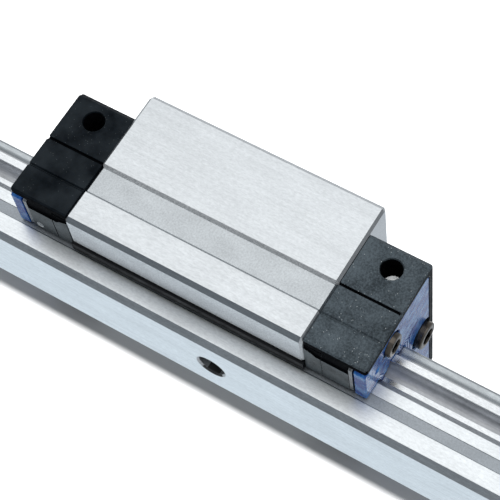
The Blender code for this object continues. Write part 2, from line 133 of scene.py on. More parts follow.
# End caps and what they hold. A cutter starts before their inner faces.
CUTTER_START = 19.0
CUTTER_END = 24.0
CAP_HALF = cap_high.y
CAP_TOP = cap_high.z
CAP_BOTTOM = cap_low.z
UNDER_CAP = CAP_BOTTOM - 2.0
SOLE_HALF = 13.4
SOLE_WAIST = [(CUTTER_START, -14.6), (20.3, -14.45), (21.5, -13.95), (22.1, -SOLE_HALF)]
OPENING_HALF = 8.1
OPENING_SHOULDER = 12.5
OPENING_BEVEL = 3.1
RIM = 1.1
RECESS_X = plate_low.x - 0.05
RECESS_MOUTH_X = cap_high.x - 0.12
GROOVES = {"low": 9.4, "high": 14.5}
SIDE_PORT = (25.4, 19.95)
SIDE_PORT_RADIUS = 1.65
SIDE_PORT_FLOOR = CAP_HALF - 5.6
SEAL_GAP = 0.3
PLATE_GAP = 0.9
GATE = (26.1, 9.1)
SEAL_DIMPLE = (-11.5, 7.4)

BOLT_Y = (bolt_low.y + bolt_high.y) / 2
BOLT_Z = (bolt_low.z + bolt_high.z) / 2
BOLT_HEAD = (bolt_high.z - bolt_low.z) / 2
BOLT_HOLE = 1.45
PORT_Z = (plug_low.z + plug_high.z) / 2
PLUG_HEAD = (plug_high.z - plug_low.z) / 2
PLUG_HOLE = PLUG_HEAD + 0.4
END_PORT_RADIUS = 2.0

SIDES = {"near": 1, "far": -1}
ENDS = {"right": 0.0, "left": math.pi}


def bare_object(name, data):
    made = bpy.data.objects.new(name, data)
    bpy.context.scene.collection.objects.link(made)
    return made


# Camera: from below and to the right of the carriage, rolled.

def place_camera():
    aim = Vector((CARRIAGE_X + 0.59, 0.0, 19.33)) * MM
    azimuth = math.radians(19.455)
    elevation = math.radians(-20.224)
    roll = math.radians(33.825)
    distance = 256.77 * MM
    back = Vector((
        math.sin(azimuth) * math.cos(elevation),
        -math.cos(azimuth) * math.cos(elevation),
        math.sin(elevation),
    ))
    right = (-back).cross(Vector((0.0, 0.0, 1.0))).normalized()
    up = right.cross(-back)
    across = right * math.cos(roll) + up * math.sin(roll)
    upward = up * math.cos(roll) - right * math.sin(roll)
    data = bpy.data.cameras.new("camera")
    data.sensor_width = 36.0
    data.lens = 121.06
    data.clip_start = 0.01
    data.clip_end = 20.0
    camera = bare_object("camera", data)
    turn = Matrix((across, upward, back)).transposed().to_4x4()
    camera.matrix_world = Matrix.Translation(aim + back * distance) @ turn
    bpy.context.scene.camera = camera


place_camera()


# Node helpers.

def add_node(tree, kind, **settings):
    node = tree.nodes.new(kind)
    for name, value in settings.items():
        setattr(node, name, value)
    return node


def feed(tree, value, socket):
    """Links a socket, or sets a number or colour."""
    if isinstance(value, bpy.types.NodeSocket):
        tree.links.new(value, socket)
    else:
        socket.default_value = value


def maths(tree, operation, first, second):
    node = add_node(tree, "ShaderNodeMath", operation=operation)
    feed(tree, first, node.inputs[0])
    feed(tree, second, node.inputs[1])
    return node.outputs[0]


def weighted(tree, first, second, share):
    """Two values added together: the first times its share, the second times the rest."""
    one = maths(tree, "MULTIPLY", first, share)
    other = maths(tree, "MULTIPLY", second, 1.0 - share)
    return maths(tree, "ADD", one, other)


def spread(tree, value, low, high, to_low=0.0, to_high=1.0, smooth=False):
    """A value between low and high, taken to between to_low and to_high."""
    kind = "SMOOTHSTEP" if smooth else "LINEAR"
    node = add_node(tree, "ShaderNodeMapRange", interpolation_type=kind)
    for name, amount in zip(("Value", "From Min", "From Max", "To Min", "To Max"),
                            (value, low, high, to_low, to_high)):
        feed(tree, amount, node.inputs[name])
    return node.outputs["Result"]


def blended(tree, factor, first, second, mode="MIX"):
    node = add_node(tree, "ShaderNodeMix", data_type="RGBA", blend_type=mode, clamp_factor=True)
    feed(tree, factor, node.inputs[0])
    feed(tree, first, node.inputs[6])
    feed(tree, second, node.inputs[7])
    return node.outputs[2]


def grey(value, tint=(1.0, 1.0, 1.0)):
    return (value * tint[0], value * tint[1], value * tint[2], 1.0)


def scaled(tint, factor):
    """A colour made darker or lighter."""
    return (*(min(1.0, part * factor) for part in tint), 1.0)


def per_mm(tree, x, y, z):
    """Object coordinates, scaled to a number of features per millimetre along each axis."""
    place = add_node(tree, "ShaderNodeTexCoord")
    scale = add_node(tree, "ShaderNodeVectorMath", operation="MULTIPLY")
    tree.links.new(place.outputs["Object"], scale.inputs[0])
    scale.inputs[1].default_value = (x / MM, y / MM, z / MM)
    return scale.outputs[0]


def clouds(tree, where, detail=3.0, roughness=0.55):
    node = add_node(tree, "ShaderNodeTexNoise")
    tree.links.new(where, node.inputs["Vector"])
    node.inputs["Scale"].default_value = 1.0
    node.inputs["Detail"].default_value = detail
    node.inputs["Roughness"].default_value = roughness
    return node.outputs["Fac"]


def cells(tree, where):
    """Distance to the nearest of scattered points."""
    node = add_node(tree, "ShaderNodeTexVoronoi")
    tree.links.new(where, node.inputs["Vector"])
    node.inputs["Scale"].default_value = 1.0
    return node.outputs["Distance"]


def new_material(name):
    made = bpy.data.materials.new(name)
    made.use_nodes = True
    tree = made.node_tree
    return made, tree, tree.nodes["Principled BSDF"]


def set_roughness(tree, shader, noise, roughness, low, high):
    """Roughness that follows a noise, from low to high times its usual value."""
    value = spread(tree, noise, 0.3, 0.7, roughness * low, roughness * high)
    feed(tree, value, shader.inputs["Roughness"])


def set_bump(tree, shader, height, depth):
    """Bump of a real depth, given in millimetres."""
    node = add_node(tree, "ShaderNodeBump")
    node.inputs["Distance"].default_value = depth * MM
    feed(tree, height, node.inputs["Height"])
    tree.links.new(node.outputs["Normal"], shader.inputs["Normal"])


def sharp_edge_mask(tree, radius):
    """One on edges sharper than the faces round them, nought elsewhere."""
    bevel = add_node(tree, "ShaderNodeBevel", samples=6)
    bevel.inputs["Radius"].default_value = radius * MM
    plain = add_node(tree, "ShaderNodeNewGeometry")
    match = add_node(tree, "ShaderNodeVectorMath", operation="DOT_PRODUCT")
    tree.links.new(bevel.outputs["Normal"], match.inputs[0])
    tree.links.new(plain.outputs["Normal"], match.inputs[1])
    return spread(tree, match.outputs["Value"], 0.99, 0.80)


# Materials.

def ground_steel(name, tint, roughness, line_depth, stain):
    """Ground steel, its grinding lines along X, with faint clouds and a few longer streaks."""
    made, tree, shader = new_material(name)
    lines = clouds(tree, per_mm(tree, 0.05, 9.0, 9.0), 4.0, 0.7)
    streaks = clouds(tree, per_mm(tree, 0.03, 1.6, 1.6), 3.0)
    patches = clouds(tree, per_mm(tree, 0.12, 0.25, 0.25), 3.0)
    grit = clouds(tree, per_mm(tree, 1.3, 4.0, 4.0), 4.0, 0.75)
    shade = weighted(tree, streaks, patches, 0.5)
    dark = scaled(tint, 1.0 - stain)
    light = scaled(tint, 1.0 + stain * 0.5)
    colour = blended(tree, spread(tree, shade, 0.35, 0.65), dark, light)
    shaded = spread(tree, grit, 0.35, 0.65, 0.86, 1.06)
    gritty = blended(tree, 1.0, colour, shaded, mode="MULTIPLY")
    feed(tree, gritty, shader.inputs["Base Color"])
    shader.inputs["Metallic"].default_value = 1.0
    set_roughness(tree, shader, lines, roughness, 0.88, 1.14)
    set_bump(tree, shader, lines, line_depth)
    return made


def blasted_steel(name, tint, roughness, grain_depth):
    """Steel left as blasted or as drawn: an even fine grain with dull clouds."""
    made, tree, shader = new_material(name)
    grain = clouds(tree, per_mm(tree, 3.5, 3.5, 3.5), 4.0, 0.7)
    patches = clouds(tree, per_mm(tree, 0.2, 0.5, 0.5), 4.0, 0.6)
    mottle = weighted(tree, grain, patches, 0.75)
    colour = blended(tree, spread(tree, mottle, 0.36, 0.64), scaled(tint, 0.74), scaled(tint, 1.12))
    feed(tree, colour, shader.inputs["Base Color"])
    shader.inputs["Metallic"].default_value = 1.0
    set_roughness(tree, shader, grain, roughness, 0.9, 1.12)
    set_bump(tree, shader, grain, grain_depth)
    return made


def turned_steel(name, tint, roughness):
    """Screws, bores and the plate: fine marks, darker in patches, and brighter on sharp edges as wear
    and a painted highlight.
    """
    made, tree, shader = new_material(name)
    marks = clouds(tree, per_mm(tree, 8.0, 2.0, 2.0), 3.0, 0.6)
    patches = clouds(tree, per_mm(tree, 0.8, 0.8, 0.8), 3.0)
    body = blended(tree, spread(tree, patches, 0.35, 0.65), scaled(tint, 0.7), scaled(tint, 1.0))
    bright = tuple(min(1.0, part * 1.7 + 0.08) for part in tint)
    # Sharp edges are painted brighter: partly wear, partly a painted highlight.
    wear_and_highlight = maths(tree, "MULTIPLY", sharp_edge_mask(tree, 0.12), spread(tree, marks, 0.3, 0.6))
    feed(tree, blended(tree, wear_and_highlight, body, (*bright, 1.0)), shader.inputs["Base Color"])
    shader.inputs["Metallic"].default_value = 1.0
    set_roughness(tree, shader, marks, roughness, 0.85, 1.2)
    set_bump(tree, shader, marks, 0.006)
    return made


def moulded_plastic(name, tone, roughness, grain_depth, specks, specular, edge_highlight):
    """Filled black plastic: spark-eroded texture, pale fibre specks, and a painted highlight on sharp
    edges.
    """
    made, tree, shader = new_material(name)
    grain = clouds(tree, per_mm(tree, 3.2, 3.2, 3.2), 4.0, 0.7)
    patches = clouds(tree, per_mm(tree, 0.22, 0.3, 0.22), 3.0)
    mottle = weighted(tree, grain, patches, 0.75)
    body = blended(tree, spread(tree, mottle, 0.4, 0.6), scaled(tone, 0.45), scaled(tone, 1.55))
    fibres = maths(tree, "LESS_THAN", cells(tree, per_mm(tree, 2.4, 2.4, 2.4)), 0.13)
    few = maths(tree, "GREATER_THAN", clouds(tree, per_mm(tree, 0.7, 0.7, 0.7), 3.0), 0.53)
    dots = maths(tree, "MULTIPLY", maths(tree, "MULTIPLY", fibres, few), specks)
    spotted = blended(tree, dots, body, grey(0.75, (0.95, 1.0, 1.0)))
    # Sharp edges are painted pale grey: a painted highlight, its strength given by the last number of
    # each plastic look.
    highlit_edges = maths(tree, "MULTIPLY", sharp_edge_mask(tree, 0.15), edge_highlight)
    colour = blended(tree, highlit_edges, spotted, grey(0.60, (0.95, 1.0, 1.03)))
    feed(tree, colour, shader.inputs["Base Color"])
    set_roughness(tree, shader, grain, roughness, 0.85, 1.15)
    sheen = spread(tree, patches, 0.35, 0.65, specular * 0.4, specular * 1.6)
    feed(tree, sheen, shader.inputs["Specular IOR Level"])
    shader.inputs["Specular Tint"].default_value = grey(1.0, (0.84, 1.0, 1.10))
    set_bump(tree, shader, grain, grain_depth)
    return made


def rubber(name, tone, pale, roughness, wave_depth, coat, specular):
    """Moulded rubber: shallow waves, fine pores and paler patches, and a coat of uneven oil."""
    made, tree, shader = new_material(name)
    waves = clouds(tree, per_mm(tree, 0.6, 0.6, 0.6), 3.0, 0.6)
    pores = clouds(tree, per_mm(tree, 5.0, 5.0, 5.0), 3.0, 0.6)
    colour = blended(tree, spread(tree, waves, 0.40, 0.62), (*tone, 1.0), (*pale, 1.0))
    feed(tree, colour, shader.inputs["Base Color"])
    set_roughness(tree, shader, waves, roughness, 0.8, 1.3)
    shader.inputs["Specular IOR Level"].default_value = specular
    if coat:
        feed(tree, spread(tree, waves, 0.45, 0.60, coat * 0.3, coat), shader.inputs["Coat Weight"])
        shader.inputs["Coat Roughness"].default_value = 0.10
    height = maths(tree, "ADD", waves, maths(tree, "MULTIPLY", pores, 0.05))
    set_bump(tree, shader, height, wave_depth)
    return made


# How each look is made: the kind of material and what it takes after its name.
LOOK_RECIPES = {
    "block_ground": (ground_steel, (0.69, 0.715, 0.735), 0.30, 0.0035, 0.08),
    "block_band": (blasted_steel, (0.63, 0.66, 0.68), 0.42, 0.020),
    # The block's underside: a rougher milled finish, with a lighter tint than the ground faces as
    # painted light.
    "block_milled": (blasted_steel, (0.86, 0.88, 0.90), 0.50, 0.010),
    # A much lighter tint on the step under the band: painted light against the shade the band throws
    # on it.
    "block_step": (blasted_steel, (0.95, 0.96, 0.97), 0.65, 0.006),
    "block_bore": (turned_steel, (0.5, 0.5, 0.5), 0.4),
    "rail_ground": (ground_steel, (0.84, 0.87, 0.89), 0.33, 0.003, 0.12),
    "rail_relief": (blasted_steel, (0.42, 0.45, 0.48), 0.48, 0.008),
    "rail_shoulder": (ground_steel, (0.72, 0.74, 0.76), 0.30, 0.004, 0.10),
    "rail_track_edge": (ground_steel, (0.46, 0.47, 0.49), 0.40, 0.006, 0.30),
    "rail_track_low": (ground_steel, (0.58, 0.59, 0.62), 0.50, 0.006, 0.40),
    "rail_crest": (ground_steel, (0.76, 0.78, 0.80), 0.20, 0.003, 0.08),
    "rail_track_high": (ground_steel, (0.90, 0.90, 0.92), 0.26, 0.004, 0.20),
    "rail_crown": (ground_steel, (0.48, 0.51, 0.53), 0.26, 0.004, 0.15),
    # Near-black steel in the rail's bolt holes: painted shade.
    "rail_bore": (turned_steel, (0.12, 0.12, 0.12), 0.45),
    "rail_end": (blasted_steel, (0.66, 0.68, 0.70), 0.40, 0.008),
    "ball": (turned_steel, (0.80, 0.81, 0.83), 0.09),
    "plate": (turned_steel, (0.40, 0.41, 0.42), 0.32),
    "screw": (turned_steel, (0.12, 0.105, 0.09), 0.20),
    # The two caps are one plastic: the left is painted much darker and the right lighter, as painted
    # shade and painted light for how the light falls on each end.
    "cap_left": (moulded_plastic, (0.003, 0.005, 0.008), 0.52, 0.020, 0.12, 0.20, 0.06),
    "cap_right": (moulded_plastic, (0.066, 0.082, 0.094), 0.52, 0.020, 1.0, 0.40, 0.15),
    # End faces of the cap rims: a darker tone and little specular level as painted shade, with a
    # strong painted highlight on their sharp edges.
    "cap_rim": (moulded_plastic, (0.012, 0.016, 0.018), 0.60, 0.020, 0.4, 0.12, 0.55),
    # Bright polished steel on the side ports' floors and the gate dimples, standing in for a painted
    # glint.
    "gloss": (turned_steel, (0.92, 0.94, 0.95), 0.25),
    "sole": (moulded_plastic, (0.036, 0.047, 0.051), 0.30, 0.006, 0.1, 0.5, 0.3),
    # Near-black for side port walls, the high groove, the faces above the sole and the guides' walls:
    # painted shade.
    "recess": (moulded_plastic, (0.002, 0.002, 0.003), 0.8, 0.01, 0.0, 0.05, 0.0),
    "seal": (rubber, (0.004, 0.060, 0.36), (0.050, 0.260, 0.66), 0.22, 0.16, 0.5, 0.5),
    "skirt": (rubber, (0.004, 0.005, 0.007), (0.008, 0.009, 0.011), 0.50, 0.03, 0.0, 0.3),
}
LOOKS = {name: make(name, *values) for name, (make, *values) in LOOK_RECIPES.items()}


# Outlines: lists of (y, z) points.

CORNER_STEPS = 3
SHARP_TURN = math.radians(24)


def arc(centre, radius, start, end, steps):
    points = []
    for i in range(steps + 1):
        angle = math.radians(start + (end - start) * i / steps)
        points.append((centre[0] + radius * math.cos(angle), centre[1] + radius * math.sin(angle)))
    return points


def mirrored(points):
    """The same points on the other side of the rail, in the opposite order."""
    return [(-y, z) for y, z in reversed(points)]


def side_normals(points):
    """Unit normals to the left of each step of a path."""
    normals = []
    for (y0, z0), (y1, z1) in zip(points, points[1:]):
        length = math.hypot(y1 - y0, z1 - z0)
        normals.append(((z0 - z1) / length, (y1 - y0) / length))
    return normals


def mitred(points, normals_before, normals_after, distance):
    moved = []
    for (y, z), before, after in zip(points, normals_before, normals_after):
        scale = distance / (1.0 + before[0] * after[0] + before[1] * after[1])
        moved.append((y + (before[0] + after[0]) * scale, z + (before[1] + after[1]) * scale))
    return moved


def offset(path, distance):
    """An open path moved to its left."""
    normals = side_normals(path)
    return mitred(path, normals[:1] + normals, normals + normals[-1:], distance)


def inset(outline, distance):
    """A closed outline moved inward."""
    ring = outline + outline[:1]
    area = sum(a[0] * b[1] - b[0] * a[1] for a, b in zip(ring, ring[1:]))
    normals = side_normals(ring)
    return mitred(outline, normals[-1:] + normals[:-1], normals, math.copysign(distance, area))


def corner_turns(outline):
    """How far the outline turns at each of its points."""
    turns = []
    for i, corner in enumerate(outline):
        before = Vector(outline[i - 1]) - Vector(corner)
        after = Vector(outline[(i + 1) % len(outline)]) - Vector(corner)
        turns.append(math.pi - before.angle(after))
    return turns


def rounded(outline, radius, turns=None):
    """A closed outline with its sharp corners made round."""
    points = []
    for i, turn in enumerate(turns or corner_turns(outline)):
        corner = Vector(outline[i])
        if turn < SHARP_TURN:
            points.append(tuple(corner))
            continue
        before = Vector(outline[i - 1]) - corner
        after = Vector(outline[(i + 1) % len(outline)]) - corner
        reach = min(radius * math.tan(turn / 2), 0.45 * before.length, 0.45 * after.length)
        start = corner + before.normalized() * reach
        end = corner + after.normalized() * reach
        for k in range(CORNER_STEPS + 1):
            t = k / CORNER_STEPS
            points.append(tuple(start * (1 - t) ** 2 + corner * 2 * t * (1 - t) + end * t ** 2))
    return points


def rail_head():
    """Near flank of the rail from its shoulder, by both ball tracks, to its top edge."""
    lower = arc(LOAD_ROW["lower"], TRACK_RADIUS, -14, 82, 14)
    upper = arc(LOAD_ROW["upper"], TRACK_RADIUS, -103, 0, 14)
    crown = [(upper[-1][0], RAIL_TOP - 0.4), (-CROWN_Y, RAIL_TOP)]
    return [(-RAIL_HALF, SHOULDER_Z), (lower[0][0], WAIST_Z)] + lower + upper + crown


def rail_outline():
    relief_y = -RAIL_HALF + RELIEF_DEPTH
    foot = [
        (-RAIL_HALF + FOOT_CHAMFER, 0.0),
        (-RAIL_HALF, FOOT_CHAMFER),
        (-RAIL_HALF, RELIEF_LOW),
        (relief_y, RELIEF_LOW + RELIEF_DEPTH),
        (relief_y, RELIEF_HIGH - 0.02),
        (-RAIL_HALF, RELIEF_HIGH),
    ]
    near = foot + rail_head()
    return near + mirrored(near)


def straddling(shell, opening):
    """Closes an outside, near bottom over the top to far bottom, with a near half opening."""
    return shell + [(-y, z) for y, z in opening] + opening[::-1]


def block_outline(end_chamfer):
    """The block's section with its outer edges moved inward by the end chamfer."""
    pocket = skirt_low.y - 0.3
    near = [
        (pocket, BLOCK_BOTTOM),
        (-SKIRT_HALF + BOTTOM_CHAMFER, BLOCK_BOTTOM),
        (-SKIRT_HALF, BLOCK_BOTTOM + BOTTOM_CHAMFER),
        (-SKIRT_HALF, BAND_LOW - 0.3),
        (-BAND_HALF, BAND_LOW),
        (-BAND_HALF, BAND_HIGH),
        (-BLOCK_HALF, BAND_HIGH + 0.35),
        (-BLOCK_HALF, BLOCK_TOP - TOP_CHAMFER),
        (-BLOCK_HALF + TOP_CHAMFER, BLOCK_TOP),
    ]
    lower = arc(LOAD_ROW["lower"], TRACK_RADIUS, 241, 140, 12)
    upper = arc(LOAD_ROW["upper"], TRACK_RADIUS, 215, 95, 14)
    between = [(-OPENING_HALF, 11.2), (-OPENING_HALF, OPENING_SHOULDER)]
    opening = [(pocket, 7.5)] + lower + between + upper
    opening += [(-5.8, upper[-1][1]), (-5.8, 16.6)]
    return straddling(offset(near + mirrored(near), -end_chamfer), opening)


def rail_opening():
    """Near half of the straight-sided opening that the caps and guides leave for the rail."""
    crest = (-OPENING_HALF + OPENING_BEVEL, OPENING_SHOULDER + OPENING_BEVEL)
    return [(-OPENING_HALF, OPENING_SHOULDER), crest]


def cap_outline():
    high = GROOVES["high"]
    low = GROOVES["low"]
    near = [
        (-OPENING_HALF, CAP_BOTTOM),
        (-SOLE_HALF, CAP_BOTTOM),
        (-SOLE_HALF, CAP_BOTTOM + 0.3),
        (-CAP_HALF + 0.3, CAP_BOTTOM + 0.3),
        (-CAP_HALF, CAP_BOTTOM + 0.6),
        (-CAP_HALF, low - 0.26),
        (-CAP_HALF + 0.3, low),
        (-CAP_HALF, low + 0.26),
        (-CAP_HALF, high - 0.21),
        (-CAP_HALF + 0.4, high - 0.17),
        (-CAP_HALF + 0.4, high + 0.17),
        (-CAP_HALF, high + 0.21),
        (-CAP_HALF, CAP_TOP - 0.7),
        (-CAP_HALF + 0.6, CAP_TOP),
    ]
    return straddling(near + mirrored(near), rail_opening())


def guide_outline():
    side = guide_low.y
    top = guide_high.z
    opening = rail_opening()
    shell = [(opening[-1][0], top), (side, top), (side, CAP_BOTTOM), (-OPENING_HALF, CAP_BOTTOM)]
    return opening + shell


def rail_path(bottom):
    """The rail's own section from its near side over the head to its far side, open below."""
    near = [(-RAIL_HALF, bottom)] + rail_head()
    return near + mirrored(near)


def end_plate_outline(box_low, box_high, rail_gap):
    """A plate in the cap's recess, cut out to the rail's own section with a gap to it."""
    half = box_high.y
    top = box_high.z
    bottom = box_low.z
    near = [(-half + 0.3, bottom), (-half, bottom + 0.3), (-half, top - 0.8), (-half + 0.8, top)]
    opening = offset([(-RAIL_HALF, bottom)] + rail_head(), rail_gap)
    return straddling(near + mirrored(near), opening)


# Mesh helpers.

def join_rings(mesh, rings):
    """Faces between neighbouring rings of vertices."""
    for first, second in zip(rings, rings[1:]):
        for i in range(len(first)):
            j = (i + 1) % len(first)
            mesh.faces.new((first[i], first[j], second[j], second[i]))


def close_rings(mesh, rings):
    """A closed body through rings of vertices."""
    join_rings(mesh, rings)
    mesh.faces.new(rings[0])
    mesh.faces.new(rings[-1])


def add_loft(mesh, sections):
    """A closed body through outlines of equal point count, given as (x, outline)."""
    close_rings(mesh, [[mesh.verts.new((x, y, z)) for y, z in outline] for x, outline in sections])


def bar_sections(start, end, outline, corner, edge_start, edge_end, steps=3):
    """Sections of a bar along X: its outline's corners and its end edges are round."""
    turns = corner_turns(outline)

    def section(k, face, edge, inward):
        angle = math.pi / 2 * k / steps
        x = face + inward * edge * (1 - math.sin(angle))
        return x, rounded(inset(outline, edge * (1 - math.cos(angle))), corner, turns)

    first = [section(k, start, edge_start, 1) for k in range(steps, -1, -1)]
    return first + [section(k, end, edge_end, -1) for k in range(steps + 1)]


def circle(radius, segments, z):
    points = []
    for i in range(segments):
        angle = 2 * math.pi * i / segments
        points.append(Vector((radius * math.cos(angle), radius * math.sin(angle), z)))
    return points


def add_turned(mesh, profile, segments, place):
    """A closed body turned about a local Z axis from (z, radius) points."""
    rings = []
    for z, radius in profile:
        rings.append([mesh.verts.new(place @ point) for point in circle(radius, segments, z)])
    close_rings(mesh, rings)


def add_tube(mesh, path, radius, normal, sides):
    """A round closed body along a flat path whose plane has the given normal."""
    rings = []
    for i, point in enumerate(path):
        ahead = path[min(i + 1, len(path) - 1)] - path[max(i - 1, 0)]
        across = normal.cross(ahead.normalized())
        ring = []
        for k in range(sides):
            angle = 2 * math.pi * k / sides
            way = normal * math.cos(angle) + across * math.sin(angle)
            ring.append(mesh.verts.new(point + way * radius))
        rings.append(ring)
    close_rings(mesh, rings)


def along_x(x, y, z):
    return Matrix.Translation((x, y, z)) @ Matrix.Rotation(math.pi / 2, 4, "Y")


def along_y(x, y, z):
    return Matrix.Translation((x, y, z)) @ Matrix.Rotation(-math.pi / 2, 4, "X")


def add_bolt_holes(mesh, profile, segments):
    """The same turned body at both of an end's bolts."""
    for side in SIDES.values():
        add_turned(mesh, profile, segments, along_x(0.0, BOLT_Y * side, BOLT_Z))


def mesh_data(name, mesh):
    bmesh.ops.scale(mesh, vec=(MM, MM, MM), verts=mesh.verts)
    bmesh.ops.recalc_face_normals(mesh, faces=mesh.faces)
    data = bpy.data.meshes.new(name)
    mesh.to_mesh(data)
    mesh.free()
    return data


def carved(name, mesh, *cutters):
    """Mesh data of a body after cutting others out of it, one after the other."""
    body = bare_object(name, mesh_data(name, mesh))
    tools = []
    for i, cutter in enumerate(cutters):
        tool = bare_object(f"{name}_tool_{i}", mesh_data(f"{name}_tool_{i}", cutter))
        modifier = body.modifiers.new("cut", "BOOLEAN")
        modifier.operation = "DIFFERENCE"
        modifier.solver = "EXACT"
        modifier.object = tool
        tools.append(tool)
    graph = bpy.context.evaluated_depsgraph_get()
    data = bpy.data.meshes.new_from_object(body.evaluated_get(graph))
    for item in [body, *tools]:
        bpy.data.objects.remove(item)
    return data


def finish_surface(data, looks, choose=None):
    """Smooth faces, sharp edges, and a material for each face from its middle and normal."""
    data.name = looks[0]
    data.materials.clear()
    for look in looks:
        data.materials.append(LOOKS[look])
    for face in data.polygons:
        face.material_index = looks.index(choose(face.center / MM, face.normal)) if choose else 0
    data.shade_smooth()
    data.set_sharp_from_angle(angle=math.radians(32))
    return data


def place_piece(name, data, nodes, body="carriage", turn=0.0, shift=(0.0, 0.0, 0.0)):
    piece = bare_object(name, data)
    origin = CARRIAGE_X if body == "carriage" else 0.0
    start = Vector((origin, 0.0, 0.0)) + Vector(shift)
    piece.matrix_world = Matrix.Translation(start * MM) @ Matrix.Rotation(turn, 4, "Z")
    piece.modifiers.new("even_normals", "WEIGHTED_NORMAL").keep_sharp = True
    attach(piece, body)
    if nodes:
        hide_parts(*nodes)


def place_at_ends(name, node, data, shift=(0.0, 0.0, 0.0)):
    """One piece at the right end and, turned half round, the same at the left."""
    for end, turn in ENDS.items():
        place_piece(f"{name}_{end}", data, [f"{node}_{end}"], turn=turn, shift=shift)


# Ball paths.

def row_points(row, side):
    load = Vector((0.0, LOAD_ROW[row][0] * side, LOAD_ROW[row][1]))
    back = Vector((0.0, RETURN_ROW[row][0] * side, RETURN_ROW[row][1]))
    return load, back


def half_turn(start, end, angle):
    """Point on the half turn at the block's right end, from one row at angle nought."""
    half = (start - end) / 2
    out = Vector((BLOCK_HALF_LENGTH + half.length * math.sin(angle), 0.0, 0.0))
    return (start + end) / 2 + half * math.cos(angle) + out


def circuit_point(row, side, distance):
    """Point at a distance along the closed ball path, from the load row's left end."""
    load, back = row_points(row, side)
    radius = (load - back).length / 2
    length = 2 * BLOCK_HALF_LENGTH
    bend = math.pi * radius
    if distance < length:
        return load + Vector((distance - BLOCK_HALF_LENGTH, 0.0, 0.0))
    distance -= length
    if distance < bend:
        return half_turn(load, back, distance / radius)
    distance -= bend
    if distance < length:
        return back + Vector((BLOCK_HALF_LENGTH - distance, 0.0, 0.0))
    point = half_turn(back, load, (distance - length) / radius)
    return Vector((-point.x, point.y, point.z))


def turn_channels():
    """The four half turns that lead the balls round at the right end."""
    mesh = bmesh.new()
    for side in SIDES.values():
        for row in LOAD_ROW:
            load, back = row_points(row, side)
            lead = Vector((BLOCK_HALF_LENGTH - 2.0, 0.0, 0.0))
            turn = [half_turn(load, back, math.pi * i / 12) for i in range(13)]
            path = [load + lead, *turn, back + lead]
            normal = Vector((1.0, 0.0, 0.0)).cross((back - load).normalized())
            add_tube(mesh, path, TRACK_RADIUS, normal, 20)
    return mesh


# Pieces.

def build_rail():
    mesh = bmesh.new()
    half = rail_high.x
    add_loft(mesh, bar_sections(-half, half, rail_outline(), 0.14, 0.12, 0.12))
    floor = RAIL_TOP - COUNTERBORE_DEPTH
    profile = [
        (-0.5, HOLE_RADIUS + 0.8),
        (0.3, HOLE_RADIUS),
        (floor - 0.15, HOLE_RADIUS),
        (floor, HOLE_RADIUS + 0.15),
        (floor, COUNTERBORE_RADIUS - 0.1),
        (floor + 0.1, COUNTERBORE_RADIUS),
        (RAIL_TOP - 0.25, COUNTERBORE_RADIUS),
        (RAIL_TOP + 0.5, COUNTERBORE_RADIUS + 0.75),
    ]
    holes = bmesh.new()
    for k in (-1, 0, 1):
        add_turned(holes, profile, 64, Matrix.Translation((k * HOLE_PITCH, 0.0, 0.0)))
    data = carved("rail_body", mesh, holes)

    def look(middle, normal):
        side = abs(middle.y)
        if abs(normal.x) > 0.5:
            return "rail_end"
        if side < COUNTERBORE_RADIUS and abs(normal.z) < 0.9:
            return "rail_bore"
        if RELIEF_LOW < middle.z < RELIEF_HIGH and side > 7:
            return "rail_relief"
        if SHOULDER_Z < middle.z < WAIST_Z:
            return "rail_shoulder"
        if middle.z < WAIST_Z or side < 5 or normal.z > 0.95:
            return "rail_ground"
        for top, name in RAIL_HEAD_LOOKS:
            if middle.z < top:
                return name
        return "rail_crown"

    looks = ["rail_ground", "rail_relief", "rail_shoulder", "rail_end", "rail_bore", "rail_crown"]
    looks += sorted({name for top, name in RAIL_HEAD_LOOKS})
    place_piece("rail_body", finish_surface(data, looks, look), ["rail"], body="rail")


def build_block():
    mesh = bmesh.new()
    half = BLOCK_HALF_LENGTH
    inner = half - END_CHAMFER
    turns = corner_turns(block_outline(0.0))
    plain = rounded(block_outline(0.0), 0.12, turns)
    edged = rounded(block_outline(END_CHAMFER), 0.12, turns)
    add_loft(mesh, [(-half, edged), (-inner, plain), (inner, plain), (half, edged)])
    tapped = [
        (BLOCK_TOP - TAPPED_DEPTH - 0.9, 0.2),
        (BLOCK_TOP - TAPPED_DEPTH, THREAD_RADIUS),
        (BLOCK_TOP - 0.3, THREAD_RADIUS),
        (BLOCK_TOP + 0.5, THREAD_RADIUS + 0.8),
    ]
    bolt_floor = 13.7
    holes = bmesh.new()
    for x, y in TAPPED_PLACES:
        add_turned(holes, tapped, 48, Matrix.Translation((x, y, 0.0)))
    bores = bmesh.new()
    for side in SIDES.values():
        for y, z in RETURN_ROW.values():
            bore = [(-half - 1, TRACK_RADIUS), (half + 1, TRACK_RADIUS)]
            add_turned(bores, bore, 32, along_x(0.0, y * side, z))
    for end in (-1, 1):
        add_bolt_holes(bores, [(end * (half + 1), BOLT_HOLE), (end * bolt_floor, BOLT_HOLE)], 24)
    data = carved("block_body", mesh, holes, bores)

    def look(middle, normal):
        side = abs(middle.y)
        outside = side > BAND_HALF - 0.1
        if outside and BAND_LOW - 0.3 < middle.z < BAND_HIGH and abs(normal.x) < 0.5:
            return "block_band"
        if outside and BAND_HIGH < middle.z < BAND_HIGH + 0.4 and normal.z < -0.5:
            return "block_step"
        if normal.z < -0.9 and middle.z < BLOCK_BOTTOM + 0.1:
            return "block_milled"
        if side < BORE_SIDE and abs(normal.x) < 0.5 and middle.z < BORE_TOP:
            return "block_bore"
        return "block_ground"

    looks = ["block_ground", "block_band", "block_step", "block_milled", "block_bore"]
    place_piece("block_body", finish_surface(data, looks, look), ["carriage_block"])


